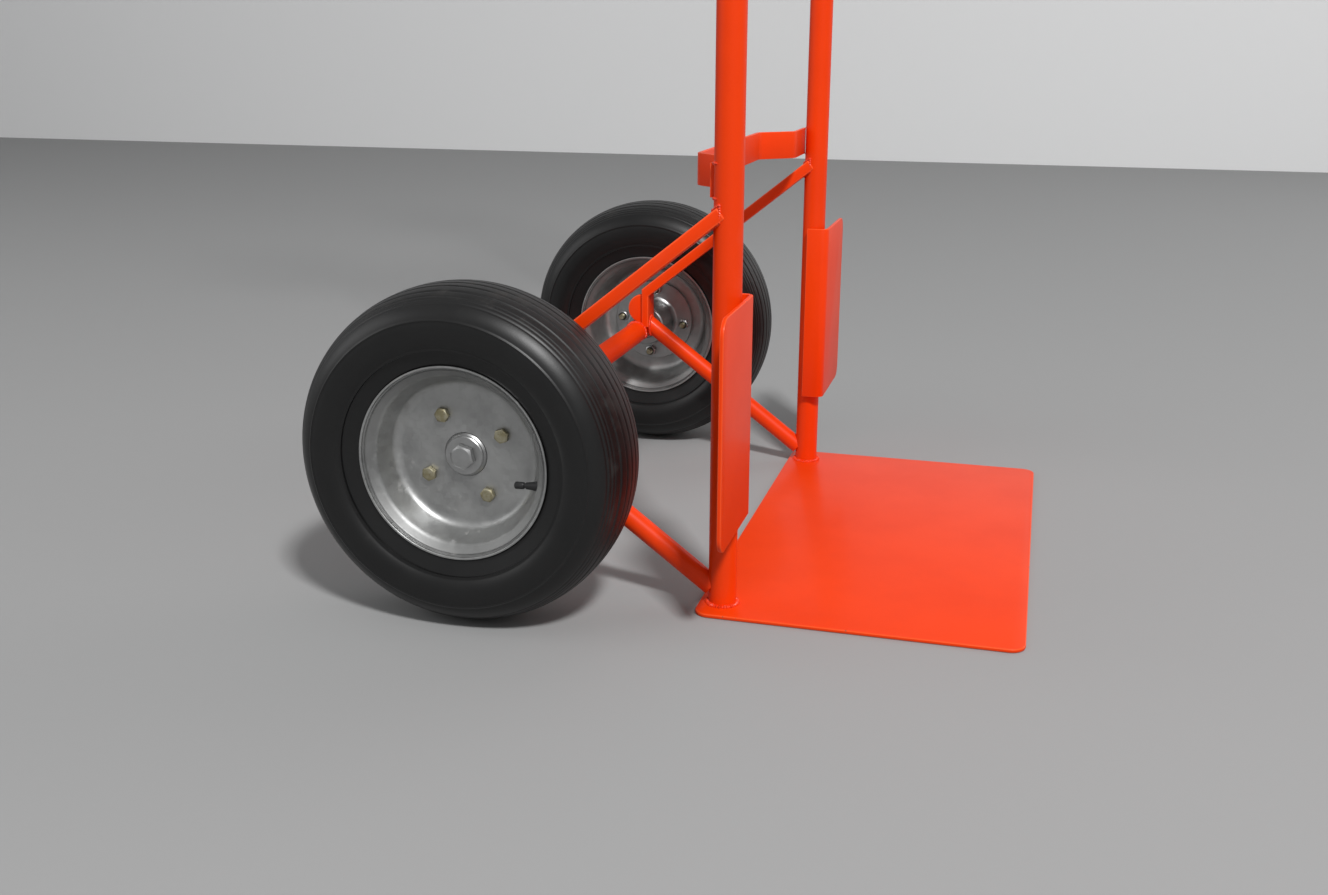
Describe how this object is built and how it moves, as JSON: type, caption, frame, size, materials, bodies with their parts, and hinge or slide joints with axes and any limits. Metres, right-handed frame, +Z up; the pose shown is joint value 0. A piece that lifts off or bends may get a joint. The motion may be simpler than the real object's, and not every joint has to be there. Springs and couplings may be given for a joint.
{
  "type": "hand truck",
  "caption": "Upright tube-frame hand truck with a flat toe plate, wheel guards, bowed cross straps and large pneumatic tyres on bolted two-piece steel rims.",
  "frame": {"origin": "on the toe plate's underside, midway between the two uprights, on the ground", "axes": "+Z up along the uprights, -Y towards the toe plate's front, +Y towards the operator, X along the axle with +X on the operator's left"},
  "size_m": [0.601, 0.5461, 1.391],
  "materials": {
    "orange_paint": "glossy orange powder coat",
    "tyre_rubber": "satin black",
    "tube_rubber": "matt black",
    "grip_rubber": "matt black",
    "galvanised_steel": "galvanised sheet, slightly mottled",
    "bright_steel": "bright zinc",
    "yellow_zinc": "yellow zinc",
    "black_plastic": "satin black"
  },
  "bodies": {
    "frame": {"axle_shaft": "bright_steel", "axle_tube": "orange_paint", "left_axle_bolt": "bright_steel", "left_axle_bracket": "orange_paint", "left_axle_washer": "bright_steel", "left_grip": "grip_rubber", "left_knuckle_guard": "orange_paint", "left_lower_strut": "orange_paint", "left_upper_strut": "orange_paint", "left_upright": "orange_paint", "left_wheel_guard": "orange_paint", "lower_cross_strap": "orange_paint", "middle_cross_strap": "orange_paint", "right_axle_bolt": "bright_steel", "right_axle_bracket": "orange_paint", "right_axle_washer": "bright_steel", "right_grip": "grip_rubber", "right_knuckle_guard": "orange_paint", "right_lower_strut": "orange_paint", "right_upper_strut": "orange_paint", "right_upright": "orange_paint", "right_wheel_guard": "orange_paint", "toe_plate": "orange_paint", "top_cross_tube": "orange_paint", "upper_cross_strap": "orange_paint"},
    "left_wheel": {"left_hub": "bright_steel", "left_inner_bearing": "bright_steel", "left_inner_tube": "tube_rubber", "left_outer_bearing": "bright_steel", "left_rim_bolt_1": "yellow_zinc", "left_rim_bolt_2": "yellow_zinc", "left_rim_bolt_3": "yellow_zinc", "left_rim_bolt_4": "yellow_zinc", "left_rim_inner": "galvanised_steel", "left_rim_nut_1": "yellow_zinc", "left_rim_nut_2": "yellow_zinc", "left_rim_nut_3": "yellow_zinc", "left_rim_nut_4": "yellow_zinc", "left_rim_outer": "galvanised_steel", "left_tyre": "tyre_rubber", "left_valve_cap": "black_plastic", "left_valve_stem": "black_plastic"},
    "right_wheel": {"right_hub": "bright_steel", "right_inner_bearing": "bright_steel", "right_inner_tube": "tube_rubber", "right_outer_bearing": "bright_steel", "right_rim_bolt_1": "yellow_zinc", "right_rim_bolt_2": "yellow_zinc", "right_rim_bolt_3": "yellow_zinc", "right_rim_bolt_4": "yellow_zinc", "right_rim_inner": "galvanised_steel", "right_rim_nut_1": "yellow_zinc", "right_rim_nut_2": "yellow_zinc", "right_rim_nut_3": "yellow_zinc", "right_rim_nut_4": "yellow_zinc", "right_rim_outer": "galvanised_steel", "right_tyre": "tyre_rubber", "right_valve_cap": "black_plastic", "right_valve_stem": "black_plastic"}
  },
  "joints": [
    {"name": "left_wheel_spin", "type": "hinge", "parent": "frame", "child": "left_wheel", "pos_m": [0.256, 0.1835, 0.13], "axis": [1, 0, 0], "continuous": true},
    {"name": "right_wheel_spin", "type": "hinge", "parent": "frame", "child": "right_wheel", "pos_m": [-0.256, 0.1835, 0.13], "axis": [1, 0, 0], "continuous": true}
  ]
}
